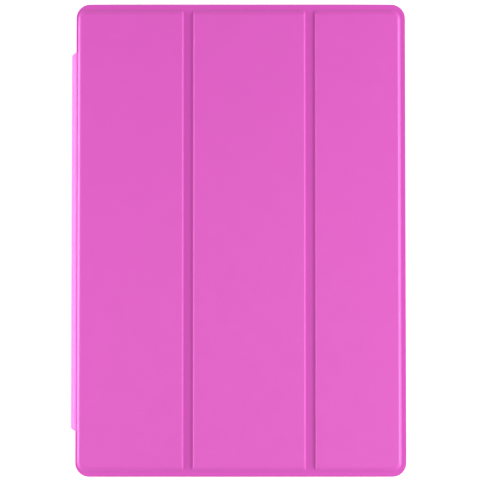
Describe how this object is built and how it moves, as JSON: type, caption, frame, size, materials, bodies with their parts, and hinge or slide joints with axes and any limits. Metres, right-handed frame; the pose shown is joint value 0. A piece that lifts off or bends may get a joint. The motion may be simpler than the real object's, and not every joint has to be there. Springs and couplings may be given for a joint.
{
  "type": "tablet case",
  "caption": "Tri-fold folio case for a 10-inch class tablet, with a hard back shell, a curved spine and a folding panel cover that rolls into a stand.",
  "frame": {"origin": "centre of the closed case's footprint, on the face it rests on", "axes": "+X from the spine to the free edge, +Y up the case's height, +Z from the back to the cover"},
  "size_m": [0.181, 0.255, 0.0122],
  "materials": {
    "skin": "smooth satin PU, fine grain",
    "lining": "microfibre",
    "shell": "fine moulded texture",
    "stiffener": "plain sheet",
    "board": "grey board",
    "steel": "rolled strip",
    "magnet": "nickel plated"
  },
  "bodies": {
    "shell": {"back_shell": "shell", "shell_liner": "lining", "back_skin": "skin"},
    "spine": {"spine_skin": "skin", "spine_stiffener": "stiffener", "spine_lining": "lining"},
    "panel_1": {"panel_1_skin": "skin", "panel_1_board": "board", "panel_1_lining": "lining", "stand_plate": "steel"},
    "panel_2": {"panel_2_skin": "skin", "panel_2_board": "board", "panel_2_lining": "lining"},
    "panel_3": {"panel_3_skin": "skin", "panel_3_board": "board", "panel_3_lining": "lining", "edge_magnets": "magnet", "sleep_magnet": "magnet"}
  },
  "joints": [
    {"name": "back_hinge", "type": "hinge", "parent": "shell", "child": "spine", "pos_m": [-0.08775, 0, 0], "axis": [0, -1, 0], "range_deg": [0, 90]},
    {"name": "front_hinge", "type": "hinge", "parent": "spine", "child": "panel_1", "pos_m": [-0.08775, 0, 0.011], "axis": [0, -1, 0], "range_deg": [0, 165]},
    {"name": "crease_1", "type": "hinge", "parent": "panel_1", "child": "panel_2", "pos_m": [-0.02687, 0, 0.011], "axis": [0, -1, 0], "range_deg": [0, 120]},
    {"name": "crease_2", "type": "hinge", "parent": "panel_2", "child": "panel_3", "pos_m": [0.03898, 0, 0.011], "axis": [0, -1, 0], "range_deg": [0, 120]}
  ]
}
